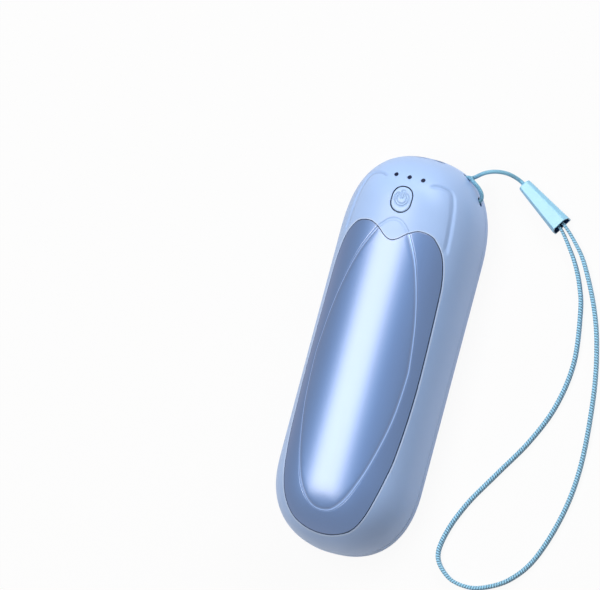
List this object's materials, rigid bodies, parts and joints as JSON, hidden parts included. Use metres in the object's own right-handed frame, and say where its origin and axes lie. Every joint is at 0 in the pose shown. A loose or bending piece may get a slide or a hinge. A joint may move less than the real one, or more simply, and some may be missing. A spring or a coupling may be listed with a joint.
{
  "type": "hand warmer",
  "caption": "Rechargeable pebble-shaped hand warmer with a flat magnetic back, a curved metal heating plate with a leaf shape, a push button and a wrist lanyard.",
  "frame": {"origin": "middle of the body's box at its flat back, without the lanyard", "axes": "+X to the lanyard side, +Y to the button and charging end, +Z from the flat back to the rounded front"},
  "size_m": [0.0797, 0.1119, 0.0288],
  "materials": {
    "body": "fine matte",
    "plate": "satin anodised",
    "film": "smooth film",
    "dark_plastic": "matte",
    "frame_plastic": "matte",
    "clear_plastic": "clear",
    "cell": "plain can",
    "sleeve": "shrink sleeve",
    "foam": "foam",
    "magnet": "nickel plated",
    "bare_steel": "plain",
    "board": "solder mask",
    "lead": "insulated wire",
    "cord": "woven cord",
    "clip": "satin"
  },
  "bodies": {
    "case": {"front_shell": "body", "back_cover": "body", "heat_plate": "plate", "heater_film": "film", "temperature_sensor": "dark_plastic", "button_retainer": "frame_plastic", "light_guide": "clear_plastic", "cell_cradle": "frame_plastic", "battery_cell": "cell", "cell_sleeve": "sleeve", "cell_tabs": "bare_steel", "cell_pads": "foam", "magnets": "magnet", "screws": "bare_steel", "circuit_board": "board", "tact_switch": "dark_plastic", "indicator_leds": "clear_plastic", "board_components": "dark_plastic", "usb_socket": "bare_steel", "usb_tongue": "dark_plastic", "cell_leads": "lead", "film_leads": "lead", "cord_knot": "cord", "lanyard_cord": "cord", "strap_clip": "clip", "wrist_strap": "cord"},
    "button": {"power_button": "body"},
    "plunger": {"switch_plunger": "dark_plastic"}
  },
  "joints": [
    {"name": "button_press", "type": "slide", "parent": "case", "child": "button", "axis": [0, 0, 1], "range_m": [-0.0004, 0], "stiffness_N_per_m": 800},
    {"name": "plunger_press", "type": "slide", "parent": "case", "child": "plunger", "axis": [0, 0, 1], "range_m": [-0.0004, 0]}
  ],
  "couplings": [
    {"joint": "plunger_press", "follows": "button_press", "ratio": 1}
  ]
}
